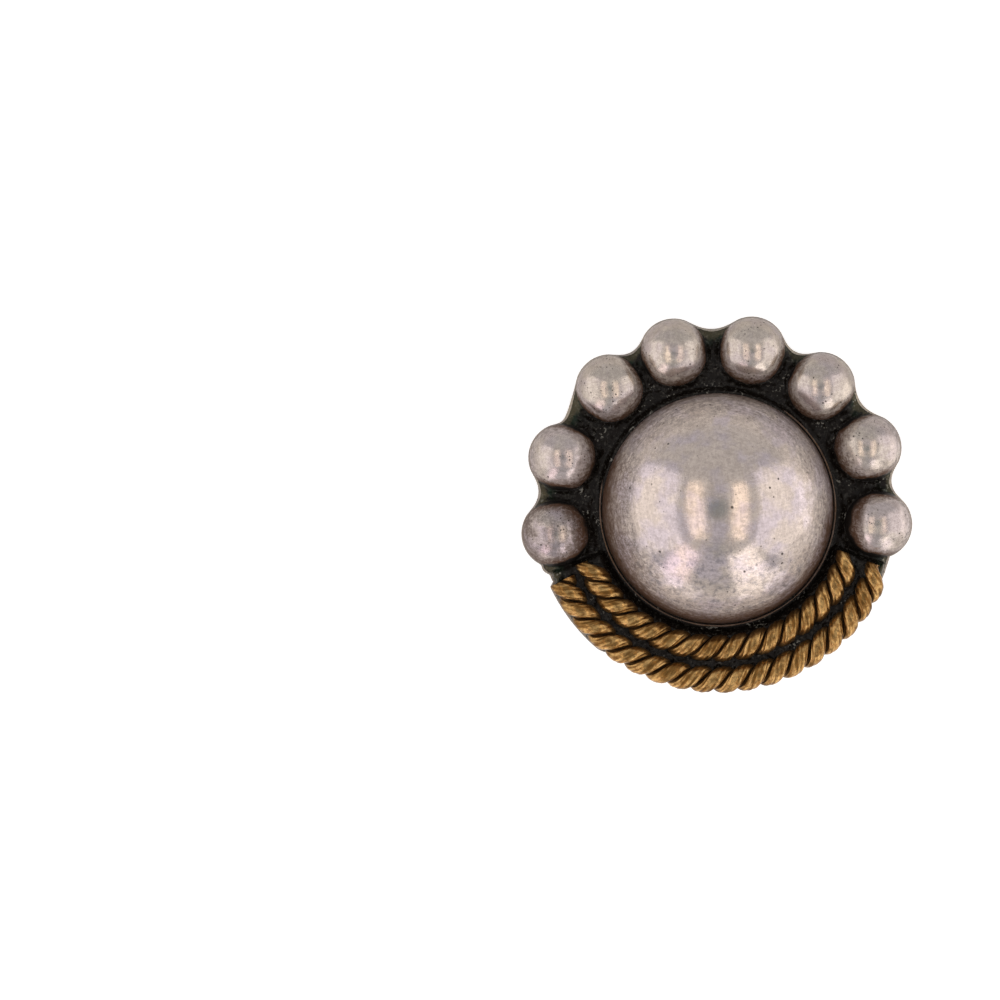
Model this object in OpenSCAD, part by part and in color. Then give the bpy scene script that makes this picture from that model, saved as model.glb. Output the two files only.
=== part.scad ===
// Dome earring of silver and brass, for the ear lobe, lying face up on its clip.
// +Z is the side that shows, +Y the top as worn. The origin lies on the dome's axis,
// on the flat foot of the clip.

/* [Back plate] */
// Thickness of the plate
plate_t = 0.9; // [0.7:0.05:1.1]
// Radius of the plate under the channel round the dome
plate_r = 12.3; // [12.2:0.05:12.4]
// Radius of the plate under the twisted ropes
rope_plate_r = 12.8; // [12.6:0.05:12.9]
// Width of plate that shows round each bead
bead_margin = 0.05; // [0.03:0.01:0.08]
// Diameter of the vent hole behind the hollow dome
vent_d = 1.2; // [0.8:0.1:1.6]

/* [Dome] */
// Outer radius of the domed sheet
dome_r = 8.3; // [8.1:0.05:8.35]
// Thickness of the domed sheet
dome_wall = 0.7; // [0.5:0.05:0.9]
// Depth of the dome's centre below the face of the plate
dome_drop = 0.3; // [0.2:0.05:0.4]
// Outer radius of the soldered seam round the dome
seam_r = 8.52; // [8.45:0.01:8.6]
// Height of that seam above the plate
seam_h = 0.3; // [0.2:0.05:0.4]

/* [Beads] */
// Radius of a half-ball bead
bead_r = 2.42; // [2.35:0.01:2.45]
// Height of a bead's centre above the face of the plate
bead_lift = 0.15; // [0.1:0.05:0.3]
// Width of the solder ring at a bead's foot
bead_seam_w = 0.22; // [0.15:0.01:0.24]
// Height of that ring above the plate
bead_seam_h = 0.2; // [0.15:0.01:0.25]

/* [Twisted ropes] */
// Diameter of the brass wire
wire_d = 1; // [0.9:0.01:1.02]
// Gap left between neighbouring wires and under them
wire_gap = 0.03; // [0.02:0.01:0.06]
// Number of sides of the wire
wire_sides = 10; // [8:1:12]
// Number of rings of points in one turn of the twist
wire_rings = 12; // [10:1:14]

/* [Ear clip] */
// Clear gap for the ear lobe, from the clip's paddle to the plate
lobe_gap = 4.4; // [4.2:0.1:5]
// Thickness of the paddle
paddle_t = 0.8; // [0.7:0.05:1]
// Width of the paddle at its round end
paddle_w = 8.6; // [8:0.1:9]
// Distance from the dome's axis down to the clip's hinge pin
hinge_y = 8.2; // [8:0.1:8.5]

/* [Hidden] */
$fn = 96;

// One row a bead, in turn round the top: its angle from +X, and its distance from the dome's axis
BEAD_ANGLE = 0;
BEAD_RING = 1;
BEADS = [[188.9, 11.69], [161.9, 11.63], [132.1, 11.49], [105.8, 11.52],
         [77.7, 11.49], [49.7, 11.39], [22.0, 11.51], [-5.7, 11.49]];

// How far the plate reaches, between each bead and the next, beyond the line joining their centres
WEB_REACH = [1.45, 1.2, 1.5, 1.6, 1.35, 1.55, 1.35];

// One row a rope: the radius of its centreline, the angle from one wire's crest to the next wire's,
// the angle of a crest of wire a, and the angles at which the rope starts and ends
ROPE_R = 0;
ROPE_CREST = 1;
ROPE_FIRST = 2;
ROPE_FROM = 3;
ROPE_TO = 4;
INNER_ROPE = [10, 8.573, 207.1, 202.9, 339.3];
OUTER_ROPE = [12.23, 7.45, 209.05, 203.6, 340];

// The corner of plate left standing outside the second and third beads
SPUR = [[-10.85, 5.4], [-10.87, 6.4], [-10.28, 8.4], [-9.6, 8.9]];

// Angles between which the plate carries the ropes
rope_plate_from = 198.5;
rope_plate_to = 342;

// Depth by which one soldered part runs into the next
bite = 0.3;
// Length by which a cut runs past the faces that it goes through
cut_past = 1;
// How much rounder than a true tangent a web's hollow is, so that it crosses the bead's edge cleanly
web_ease = 1.06;

plate_back = paddle_t + lobe_gap;
plate_face = plate_back + plate_t;
wire_r = wire_d / 2;
twist_r = wire_r + wire_gap / 2;

// Centre of the vent hole, clear of the ear clip's pad
vent_at = [3.6, 3.6];

// Bracket of the ear clip: its soldered pad, and the cheeks that hold the pin
solder_gap = 0.03;
pad_w = 7;
pad_len = 5;
pad_t = 0.6;
cheek_in = 1.8;
cheek_out = 2.6;
cheek_r = 1.35;
cheek_foot = 4.2;
pin_r = 0.55;
pin_half = 2.85;
hinge_z = plate_back - 2.7;

// Paddle of the ear clip: the centres of its round and narrow ends, its neck and its knuckle
paddle_round_y = 2.2;
paddle_neck_y = -5.2;
paddle_neck_r = 1.7;
neck_w = 3.4;
neck_t = 0.9;
neck_foot_y = -5.6;
knuckle_r = 1.15;
// Share of a circle's radius at which a straight side starts, so that it crosses the circle's edge
tuck = 0.985;

function polar(r, a) = [r * cos(a), r * sin(a)];
function bead_at(i) = polar(BEADS[i][BEAD_RING], BEADS[i][BEAD_ANGLE]);

// Points of one ring of a wire. At angle phi round the dome the wire's centre stands off the rope's
// centreline by twist_r, in the direction turn, and ahead is the way the wire runs there.
function wire_ring(rope_r, crest, phi, first) =
    let (turn = 90 + 180 * (phi - first) / crest,
         out = [cos(phi), sin(phi), 0],
         along = [-sin(phi), cos(phi), 0],
         off = out * cos(turn) + [0, 0, sin(turn)],
         swing = [0, 0, cos(turn)] - out * sin(turn),
         run = along * (rope_r + twist_r * cos(turn)) + swing * twist_r * 180 / crest,
         ahead = run / norm(run),
         side = cross(ahead, off),
         centre = out * rope_r + off * twist_r)
    [for (k = [0:wire_sides - 1])
        let (a = 360 * k / wire_sides)
        centre + wire_r * (off * cos(a) + side * sin(a))];

// Faces of a tube of rings: its two ends, then a strip of triangles between each ring and the next
function tube_faces(rings, sides) = concat(
    [[for (k = [0:sides - 1]) k]],
    [[for (k = [sides - 1:-1:0]) (rings - 1) * sides + k]],
    [for (i = [0:rings - 2], k = [0:sides - 1])
        let (a = i * sides + k, b = i * sides + (k + 1) % sides) [a, a + sides, b]],
    [for (i = [0:rings - 2], k = [0:sides - 1])
        let (a = i * sides + k, b = i * sides + (k + 1) % sides) [b, a + sides, b + sides]]);

// One wire of a rope: wire 0 has a crest at the rope's crest angle, wire 1 half a turn on
module rope_wire(rope, which) {
    crest = rope[ROPE_CREST];
    first = rope[ROPE_FIRST] + which * crest;
    span = rope[ROPE_TO] - rope[ROPE_FROM];
    rings = ceil(wire_rings * span / (2 * crest)) + 1;
    points = [for (i = [0:rings - 1])
        each wire_ring(rope[ROPE_R], crest, rope[ROPE_FROM] + span * i / (rings - 1), first)];
    translate([0, 0, plate_face + wire_gap + wire_r + twist_r])
        polyhedron(points, tube_faces(rings, wire_sides));
}

// Web of plate between bead i and the next, with a hollow outer edge
module web(i, margin) {
    a = bead_at(i);
    b = bead_at(i + 1);
    half = norm(b - a) / 2;
    lobe = bead_r + margin;
    reach = WEB_REACH[i] + margin - bead_margin;
    hollow_r = web_ease * (half * half + reach * reach - lobe * lobe) / (2 * (lobe - reach));
    middle = (a + b) / 2;
    away = [b[1] - a[1], a[0] - b[0]] / (2 * half);
    hollow_at = middle + (away * middle > 0 ? away : -away) * (reach + hollow_r);
    difference() {
        polygon([a, hollow_at, b]);
        translate(hollow_at) circle(hollow_r);
    }
}

// Outline of the plate, with this margin round the beads
module plate_outline(margin) {
    shrink = bead_margin - margin;
    circle(plate_r - shrink);
    for (i = [0:len(BEADS) - 1]) translate(bead_at(i)) circle(bead_r + margin);
    for (i = [0:len(BEADS) - 2]) web(i, margin);
    intersection() {
        circle(rope_plate_r - shrink);
        polygon(concat([[0, 0]], [for (i = [0:4])
            polar(2 * rope_plate_r, rope_plate_from + (rope_plate_to - rope_plate_from) * i / 4)]));
    }
}

module plate() {
    linear_extrude(plate_t) {
        plate_outline(bead_margin);
        polygon(concat(SPUR, [bead_at(2), bead_at(1)]));
    }
}

// Hollow dome with the seam that solders it to the plate
module dome() {
    translate([0, 0, -dome_drop]) rotate_extrude() difference() {
        intersection() {
            circle(dome_r);
            square(dome_r + 1);
        }
        circle(dome_r - dome_wall);
    }
    translate([0, 0, -bite]) linear_extrude(bite + seam_h) difference() {
        circle(seam_r);
        circle(dome_r - dome_wall / 2);
    }
}

module bead() {
    translate([0, 0, bead_lift]) rotate_extrude() intersection() {
        circle(bead_r);
        translate([0, -bead_lift - bite]) square([bead_r + 1, 2 * bead_r]);
    }
}

// Solder rings at the feet of the beads, filed off flush with the plate outside
module bead_seams() {
    translate([0, 0, -bite]) linear_extrude(bite + bead_seam_h) intersection() {
        plate_outline(bead_margin / 2);
        for (i = [0:len(BEADS) - 1]) translate(bead_at(i)) circle(bead_r + bead_seam_w);
    }
}

module silver_body() {
    color("silver") difference() {
        union() {
            translate([0, 0, plate_back]) plate();
            translate([0, 0, plate_face]) {
                dome();
                bead_seams();
                for (i = [0:len(BEADS) - 1]) translate(bead_at(i)) bead();
            }
        }
        translate([vent_at[0], vent_at[1], plate_back - cut_past])
            cylinder(h = plate_t + 2 * cut_past, d = vent_d);
    }
}

// A flat shape drawn in side view, Y across and Z up, made this wide along X
module side_view(width) {
    rotate([90, 0, 90]) linear_extrude(width, center = true) children();
}

// Paddle behind the ear lobe: round at its upper end, narrow at the hinge, flat on the outside
module clip_paddle() {
    round_r = paddle_w / 2;
    lean = asin((round_r - paddle_neck_r) / (paddle_round_y - paddle_neck_y));
    edge = tuck * [cos(lean), sin(lean)];
    upper = [0, paddle_round_y] + round_r * edge;
    lower = [0, paddle_neck_y] + paddle_neck_r * edge;
    linear_extrude(paddle_t) {
        translate([0, paddle_round_y]) circle(round_r);
        translate([0, paddle_neck_y]) circle(paddle_neck_r);
        polygon([upper, [-upper[0], upper[1]], [-lower[0], lower[1]], lower]);
    }
}

// Neck that joins the paddle to the knuckle round the pin
module clip_neck() {
    pin = [-hinge_y, hinge_z];
    foot = [neck_foot_y, paddle_t / 2];
    across = [pin[1] - foot[1], foot[0] - pin[0]] / norm(pin - foot) * neck_t / 2;
    side_view(neck_w) polygon([pin + across, foot + across, foot - across, pin - across]);
    side_view(cheek_in + cheek_out) translate(pin) circle(knuckle_r);
}

// Bracket: a pad soldered behind the plate, with a cheek on each side of the knuckle
module clip_bracket() {
    pad_z = plate_back - solder_gap - pad_t;
    translate([-pad_w / 2, -hinge_y - pad_len / 2, pad_z]) cube([pad_w, pad_len, pad_t]);
    for (x = [-1, 1]) translate([x * (cheek_in + cheek_out) / 2, -hinge_y, 0])
        side_view(cheek_out - cheek_in) {
            translate([0, hinge_z]) circle(cheek_r);
            polygon([[-tuck * cheek_r, hinge_z], [tuck * cheek_r, hinge_z],
                     [cheek_foot / 2, pad_z + pad_t / 2], [-cheek_foot / 2, pad_z + pad_t / 2]]);
        }
    side_view(2 * pin_half) translate([-hinge_y, hinge_z]) circle(pin_r);
}

module ear_clip() {
    color("gainsboro") {
        clip_paddle();
        clip_neck();
        clip_bracket();
    }
}

module inner_rope_wire_a() { color("darkgoldenrod") rope_wire(INNER_ROPE, 0); }
module inner_rope_wire_b() { color("goldenrod") rope_wire(INNER_ROPE, 1); }
module outer_rope_wire_a() { color("darkgoldenrod") rope_wire(OUTER_ROPE, 0); }
module outer_rope_wire_b() { color("goldenrod") rope_wire(OUTER_ROPE, 1); }

silver_body();
inner_rope_wire_a();
inner_rope_wire_b();
outer_rope_wire_a();
outer_rope_wire_b();
ear_clip();
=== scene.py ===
# %% [markdown]
# # Dome earring of silver and brass
#
# The earring is a scalloped silver plate. It carries a hollow dome, eight half-ball beads and two
# twisted brass ropes, and behind it sits a clip for the ear lobe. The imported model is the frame:
# it gives every size and place. Each piece here stands over its own part of that frame, with the
# solder, wear and tarnish that plain solids can't carry.

# %% Load the frame
import math

import bmesh
import bpy
import numpy as np
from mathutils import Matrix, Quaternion, Vector, noise
from mathutils.bvhtree import BVHTree


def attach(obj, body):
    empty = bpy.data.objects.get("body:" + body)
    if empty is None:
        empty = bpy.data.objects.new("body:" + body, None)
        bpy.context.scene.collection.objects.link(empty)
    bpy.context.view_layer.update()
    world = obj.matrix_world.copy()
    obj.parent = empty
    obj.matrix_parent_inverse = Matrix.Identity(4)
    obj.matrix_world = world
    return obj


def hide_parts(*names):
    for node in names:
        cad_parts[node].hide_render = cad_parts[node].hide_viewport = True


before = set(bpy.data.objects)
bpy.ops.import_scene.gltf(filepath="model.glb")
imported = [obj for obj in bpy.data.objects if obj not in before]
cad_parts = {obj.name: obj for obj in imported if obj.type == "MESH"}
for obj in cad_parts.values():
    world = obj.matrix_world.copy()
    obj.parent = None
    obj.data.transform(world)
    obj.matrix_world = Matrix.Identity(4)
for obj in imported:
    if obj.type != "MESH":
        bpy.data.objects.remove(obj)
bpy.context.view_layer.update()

MM = 0.001
print("frame nodes:", sorted(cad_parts))

# %% [markdown]
# ## Camera
#
# The photograph looks straight down on the face of the earring from far away. A long lens one metre
# off keeps the same flat view. The lens is worked out so that 14 pixels show 1 mm at the plate, and
# the camera stands beside the dome by as much as the dome is off the middle of the photograph.

# %% Make the camera
PHOTO_WIDTH_PX = 1000
PX_PER_MM = 14
DOME_X_PX = 717.6
DOME_Y_PX = 508.2
CAMERA_DISTANCE = 1.0
PLATE_BACK = 5.2 * MM
PLATE_FACE = 6.1 * MM

view_width = PHOTO_WIDTH_PX / PX_PER_MM * MM
eye = Vector(((PHOTO_WIDTH_PX / 2 - DOME_X_PX) / PX_PER_MM * MM,
              (DOME_Y_PX - PHOTO_WIDTH_PX / 2) / PX_PER_MM * MM,
              PLATE_FACE + CAMERA_DISTANCE))
bpy.ops.object.camera_add(location=eye, rotation=(0, 0, 0))
camera = bpy.context.object
camera.data.lens = camera.data.sensor_width * CAMERA_DISTANCE / view_width
bpy.context.scene.camera = camera
print("lens in mm:", round(camera.data.lens, 1))

# %% [markdown]
# ## Studio
#
# Polished metal has no look of its own: it shows the room. On the dome the photograph shows a grey
# studio with two warm upright strips close to the lens, a big softbox on each side and two small
# ones low in front. Each is an area light, placed by the angle at which the dome sees it. The
# light's energy follows from how much brighter than the room its face should be.

# %% Softboxes
SOFTBOX_DISTANCE = 0.45


def softbox(name, azimuth, polar, across, along, brightness, tint, roll=0):
    """A soft light, seen from the dome this many degrees round from +X and away from straight up."""
    turn, lean = math.radians(azimuth), math.radians(polar)
    toward = Vector((math.sin(lean) * math.cos(turn), math.sin(lean) * math.sin(turn), math.cos(lean)))
    place = toward * SOFTBOX_DISTANCE + Vector((0, 0, PLATE_FACE))
    facing = toward.to_track_quat("Z", "Y") @ Quaternion((0, 0, 1), math.radians(roll))
    bpy.ops.object.light_add(type="AREA", location=place, rotation=facing.to_euler())
    light = bpy.context.object
    light.name = name
    light.visible_camera = False
    light.data.shape = "RECTANGLE"
    light.data.size = 2 * SOFTBOX_DISTANCE * math.tan(math.radians(across / 2))
    light.data.size_y = 2 * SOFTBOX_DISTANCE * math.tan(math.radians(along / 2))
    light.data.energy = math.pi * light.data.size * light.data.size_y * brightness
    light.data.color = tint
    print(f"{name}: {light.data.size:.2f} by {light.data.size_y:.2f} m")


WARM = (1.0, 0.82, 0.66)
NEUTRAL = (1.0, 0.93, 0.91)
ROSY = (1.0, 0.82, 0.86)
softbox("strip_left", 187, 22.5, 54, 16, 0.92, WARM, roll=-4)
softbox("strip_right", 352, 22, 54, 16, 0.92, WARM, roll=9)
softbox("side_left", 181, 66, 70, 50, 0.60, NEUTRAL)
softbox("side_right", -1, 66, 75, 50, 0.60, NEUTRAL)
softbox("front_left", 236, 69, 21, 40, 1.02, ROSY)
softbox("front_right", 297, 69, 27, 40, 1.12, NEUTRAL)

# %% [markdown]
# The room between the softboxes is grey. The lens makes a dark spot straight overhead, and whoever
# works the camera makes a fainter one in front. A row of DARK_SPOTS gives the direction, the outer
# and inner half widths in degrees and the depth. Seen directly the room is pale, so that the low
# views have a clean background.

# %% Room
ROOM_GREY = (0.62, 0.61, 0.62, 1)
LENS_GREY = (0.27, 0.31, 0.34, 1)
BACKGROUND = (0.90, 0.90, 0.90, 1)
DARK_SPOTS = (((0, 0, 1), 13, 5, 1.0),
              ((0, -math.sin(math.radians(43)), math.cos(math.radians(43))), 13, 4, 0.45))


def dark_spot(tree, direction, toward, outer, inner, depth):
    """A round spot of this depth: outer and inner are its half widths in degrees."""
    near = tree.nodes.new("ShaderNodeVectorMath")
    near.operation = "DOT_PRODUCT"
    tree.links.new(direction, near.inputs[0])
    near.inputs[1].default_value = toward
    spot = tree.nodes.new("ShaderNodeMapRange")
    spot.interpolation_type = "SMOOTHSTEP"
    spot.inputs["From Min"].default_value = math.cos(math.radians(outer))
    spot.inputs["From Max"].default_value = math.cos(math.radians(inner))
    spot.inputs["To Max"].default_value = depth
    tree.links.new(near.outputs["Value"], spot.inputs["Value"])
    return spot.outputs["Result"]


def light_room():
    world = bpy.data.worlds.new("studio")
    bpy.context.scene.world = world
    world.use_nodes = True
    nodes, links = world.node_tree.nodes, world.node_tree.links
    direction = nodes.new("ShaderNodeTexCoord").outputs["Generated"]
    darkest = nodes.new("ShaderNodeMath")
    darkest.operation = "MAXIMUM"
    for socket, spot in zip(darkest.inputs, DARK_SPOTS):
        links.new(dark_spot(world.node_tree, direction, *spot), socket)
    grey = nodes.new("ShaderNodeMix")
    grey.data_type = "RGBA"
    grey.inputs[6].default_value = ROOM_GREY
    grey.inputs[7].default_value = LENS_GREY
    links.new(darkest.outputs["Value"], grey.inputs["Factor"])
    room = nodes["Background"]
    links.new(grey.outputs[2], room.inputs["Color"])
    pale = nodes.new("ShaderNodeBackground")
    pale.inputs["Color"].default_value = BACKGROUND
    rays = nodes.new("ShaderNodeLightPath")
    mix = nodes.new("ShaderNodeMixShader")
    links.new(rays.outputs["Is Camera Ray"], mix.inputs["Fac"])
    links.new(room.outputs["Background"], mix.inputs[1])
    links.new(pale.outputs["Background"], mix.inputs[2])
    links.new(mix.outputs["Shader"], nodes["World Output"].inputs["Surface"])


light_room()
bpy.context.scene.view_settings.view_transform = "Standard"

# %% [markdown]
# The earring lies face up on a wide sheet, resting on its clip. The sheet gets its finish at the end.

# %% Floor
FLOOR_SIZE = 4.0

bpy.ops.mesh.primitive_plane_add(size=FLOOR_SIZE, location=(0, 0, 0))
floor = bpy.context.object
floor.name = "floor"
print("floor:", FLOOR_SIZE, "m square")

# %% [markdown]
# ## Ways of working
#
# A few short helpers keep the steps below readable. Operators act on everything that is selected,
# so each step first selects its one piece. A finished piece has its place in its mesh and its
# object at the origin.

# %% Helpers for selecting, editing and finishing
WELD = 1e-7


def select_only(piece):
    bpy.ops.object.select_all(action="DESELECT")
    piece.select_set(True)
    bpy.context.view_layer.objects.active = piece


def open_mesh(piece, mode="FACE"):
    """Goes into edit mode with all of the piece selected."""
    select_only(piece)
    bpy.ops.object.mode_set(mode="EDIT")
    bpy.ops.mesh.select_mode(type=mode)
    bpy.ops.mesh.select_all(action="SELECT")


def close_mesh():
    bpy.ops.object.mode_set(mode="OBJECT")


def pick(piece, kind, wanted):
    """In edit mode, selects the verts, edges or faces for which wanted() is true."""
    shape = bmesh.from_edit_mesh(piece.data)
    for parts in (shape.faces, shape.edges, shape.verts):
        for part in parts:
            part.select_set(False)
    for part in getattr(shape, kind):
        if wanted(part):
            part.select_set(True)
    bmesh.update_edit_mesh(piece.data)


def finish_with(piece, kind, **settings):
    """Adds one modifier, sets it and applies it."""
    modifier = piece.modifiers.new(kind.lower(), kind)
    for key, value in settings.items():
        setattr(modifier, key, value)
    select_only(piece)
    bpy.ops.object.modifier_apply(modifier=modifier.name)


def settle(name):
    """Names the piece just added and puts its place into its mesh."""
    piece = bpy.context.object
    piece.name = name
    piece.data.name = name
    select_only(piece)
    bpy.ops.object.transform_apply(location=True, rotation=True, scale=True)
    return piece


def smooth(piece, degrees=40):
    select_only(piece)
    bpy.ops.object.shade_smooth_by_angle(angle=math.radians(degrees))


def points_mm(piece):
    """The piece's vertices as rows of x, y, z in mm."""
    flat = np.empty(len(piece.data.vertices) * 3)
    piece.data.vertices.foreach_get("co", flat)
    return flat.reshape(-1, 3) / MM


def move_points(piece, rows_mm):
    piece.data.vertices.foreach_set("co", (rows_mm * MM).ravel())
    piece.data.update()


def report(piece):
    """Prints a piece's size and its number of triangles."""
    rows = points_mm(piece)
    triangles = sum(len(face.vertices) - 2 for face in piece.data.polygons)
    low, high = rows.min(0), rows.max(0)
    print(f"{piece.name}: {triangles} triangles,", "from", low.round(2), "to", high.round(2), "mm")


# %% [markdown]
# ## Back plate
#
# The plate is sheet silver, sawn to a lobe round each bead and a hollow web between the lobes. It
# could be drawn again from circles, but its outline is already in the frame. So a copy of the
# silver solid is cut level through the plate, which leaves only the line round it and round the
# vent hole. In the notches beside each bead solder has run out over the edge, so there the line is
# drawn smoother. It is filled, drawn up to the plate's thickness, and its rims are rounded as a file
# leaves them. The beads' places come first, because the notches lie beside them: for each bead the
# angle, the distance from the dome's axis, how dull it has gone, and how much duller and darker its
# inner side is, which is partly tarnish and partly painted shade.

# %% Places of the beads
BEAD_R = 2.42 * MM
BEAD_ANGLE = 0
BEAD_RING = 1
BEAD_DULL = 2
BEAD_DULLER_AND_SHADED_IN = 3
BEADS = [(188.9, 11.69, 0.25, 0.00), (161.9, 11.63, 0.17, 0.00), (132.1, 11.49, 0.05, 0.00),
         (105.8, 11.52, 0.03, 0.00), (77.7, 11.49, 0.03, 0.04), (49.7, 11.39, 0.03, 0.00),
         (22.0, 11.51, 0.14, 0.03), (-5.7, 11.49, 0.17, 0.19)]


def bead_place(row):
    """A bead's centre over the plate, in mm."""
    turn = math.radians(row[BEAD_ANGLE])
    return row[BEAD_RING] * math.cos(turn), row[BEAD_RING] * math.sin(turn)


bead_places = [bead_place(row) for row in BEADS]
print("bead centres in mm:", [(round(x, 2), round(y, 2)) for x, y in bead_places])

# %% Cut the outline
PLATE_T = PLATE_FACE - PLATE_BACK


def merged_copy(node, name):
    """A copy of a frame node with its loose triangles welded together."""
    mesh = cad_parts[node].data.copy()
    mesh.materials.clear()
    piece = bpy.data.objects.new(name, mesh)
    bpy.context.scene.collection.objects.link(piece)
    select_only(piece)
    bpy.ops.mesh.customdata_custom_splitnormals_clear()
    open_mesh(piece)
    bpy.ops.mesh.remove_doubles(threshold=WELD)
    close_mesh()
    return piece


back_plate = merged_copy("silver_body", "back_plate")
open_mesh(back_plate)
bpy.ops.mesh.bisect(plane_co=(0, 0, PLATE_BACK + PLATE_T / 2), plane_no=(0, 0, 1),
                    clear_inner=True, clear_outer=True, threshold=WELD)
close_mesh()

# %% Smooth the notches
NOTCH_BEND = 0.8
NOTCH_REACH = 0.70
NOTCH_STEPS = 400
OUTLINE_CUTS = 3
LOBES_FROM = 9


def lengths(rows):
    return np.linalg.norm(rows, axis=1)


def notch_points(piece):
    """Which outline points lie in or beside a sharp hollow corner."""
    rows = points_mm(piece)[:, :2]
    beside = [[] for _ in rows]
    for edge in piece.data.edges:
        first, second = edge.vertices
        beside[first].append(second)
        beside[second].append(first)
    first, second = np.array(beside).T
    to_first, to_second = rows[first] - rows, rows[second] - rows
    middle = (to_first + to_second) / 2
    hollow = (middle * rows).sum(1) > 0
    bend_r = lengths(to_first) * lengths(to_second) / (2 * lengths(middle) + 1e-9)
    corners = rows[hollow & (bend_r < NOTCH_BEND) & (lengths(rows) > LOBES_FROM)]
    gaps = np.linalg.norm(rows[:, None] - corners[None], axis=2).min(1)
    return gaps < NOTCH_REACH


open_mesh(back_plate, "EDGE")
bpy.ops.mesh.subdivide(number_cuts=OUTLINE_CUTS)
close_mesh()
near_notch = notch_points(back_plate)
open_mesh(back_plate, "VERT")
pick(back_plate, "verts", lambda vert: near_notch[vert.index])
bpy.ops.mesh.vertices_smooth(factor=0.5, repeat=NOTCH_STEPS)
close_mesh()
print("points in notches:", int(near_notch.sum()))

# %% [markdown]
# Solder has also run out past the lobes at both ends of the ropes. A table gives each such place:
# the degrees where it starts, is full, is still full and ends, and the radius it reaches in mm.

# %% Let the edge run out at the ropes' ends
SPILLS = ((196.0, 198.5, 199.0, 202.5, 13.25), (197.5, 200.5, 203.5, 204.5, 12.90),
          (203.5, 205.5, 229.0, 236.0, 13.22), (336.0, 339.5, 343.8, 347.0, 12.78))


def ease(value, low, high):
    """0 below low, 1 above high and a smooth rise between."""
    share = np.clip((value - low) / (high - low), 0, 1)
    return share * share * (3 - 2 * share)


rows = points_mm(back_plate)
radius = lengths(rows[:, :2])
turn = np.degrees(np.arctan2(rows[:, 1], rows[:, 0])) % 360
reached = radius.copy()
for start, start_full, end_full, end, spill_r in SPILLS:
    spilled = ease(turn, start, start_full) * (1 - ease(turn, end_full, end)) * (radius > LOBES_FROM)
    reached = np.maximum(reached, radius + spilled * np.maximum(spill_r - radius, 0))
rows[:, :2] *= (reached / radius)[:, None]
move_points(back_plate, rows)
outline_points = rows[:, :2]
outline_edges = np.array([edge.vertices[:] for edge in back_plate.data.edges])
print("points on the outline:", len(outline_points))

# %% Fill it, raise it and round its rims
RIM_ROUND = 0.11 * MM

open_mesh(back_plate, "EDGE")
bpy.ops.mesh.fill()
bpy.ops.mesh.select_all(action="SELECT")
bpy.ops.transform.translate(value=(0, 0, -PLATE_T / 2))
bpy.ops.mesh.extrude_region_move(TRANSFORM_OT_translate={"value": (0, 0, PLATE_T)})
bpy.ops.mesh.select_all(action="SELECT")
bpy.ops.mesh.normals_make_consistent(inside=False)
close_mesh()
finish_with(back_plate, "BEVEL", width=RIM_ROUND, segments=3, limit_method="ANGLE",
            angle_limit=math.radians(60))
smooth(back_plate)
report(back_plate)

# %% [markdown]
# ## Dome
#
# The dome is a disc of sheet silver, doming-punched to a half ball. An icosphere has faces of one
# size all over and no pole, so its highlights run clean across the top. It is cut at the plate, very
# faintly dented as hand-worked sheet is, and the sheet's thickness is added inwards.

# %% Make the dome
DOME_R = 8.3 * MM
DOME_WALL = 0.7 * MM
DOME_DROP = 0.3 * MM
DOME_DENT = 0.035 * MM
BITE = 0.3 * MM

hammer_marks = bpy.data.textures.new("hammer_marks", type="CLOUDS")
hammer_marks.noise_scale = 2.6 * MM
hammer_marks.noise_depth = 2

bpy.ops.mesh.primitive_ico_sphere_add(subdivisions=7, radius=DOME_R,
                                      location=(0, 0, PLATE_FACE - DOME_DROP))
dome = settle("dome_shell")
open_mesh(dome)
bpy.ops.mesh.bisect(plane_co=(0, 0, PLATE_FACE - BITE / 2), plane_no=(0, 0, 1), clear_inner=True,
                    threshold=WELD)
close_mesh()
finish_with(dome, "DISPLACE", texture=hammer_marks, strength=DOME_DENT, mid_level=1)
finish_with(dome, "SOLIDIFY", thickness=DOME_WALL, offset=-1)
smooth(dome)
report(dome)

# %% [markdown]
# A thin ring of solder and wire runs round the dome's foot. In the photograph it is a fine line of
# light beside a dark groove. A torus at that place gives both.

# %% Make the ring at the dome's foot
RING_R = 8.40 * MM
RING_THICK_R = 0.065 * MM
RING_Z = PLATE_FACE + 0.48 * MM
RING_WAVER = 0.09 * MM

bpy.ops.mesh.primitive_torus_add(major_radius=RING_R, minor_radius=RING_THICK_R,
                                 major_segments=240, minor_segments=14, location=(0, 0, RING_Z))
dome_ring = settle("dome_ring")
finish_with(dome_ring, "DISPLACE", texture=hammer_marks, strength=RING_WAVER, mid_level=0.5)
smooth(dome_ring)
report(dome_ring)

# %% [markdown]
# ## Beads
#
# Each bead is a solid half ball, sweated onto its lobe of the plate. One is modelled and copied to
# the eight places. Each copy is dented after it is in place, so no two are alike.

# %% Make the beads
BEAD_LIFT = 0.15 * MM
BEAD_DENT = 0.04 * MM
bpy.ops.mesh.primitive_ico_sphere_add(subdivisions=6, radius=BEAD_R,
                                      location=(0, 0, PLATE_FACE + BEAD_LIFT))
first_bead = settle("bead_1")
open_mesh(first_bead)
bpy.ops.mesh.bisect(plane_co=(0, 0, PLATE_FACE - BITE), plane_no=(0, 0, 1), use_fill=True,
                    clear_inner=True, threshold=WELD)
close_mesh()

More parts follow.
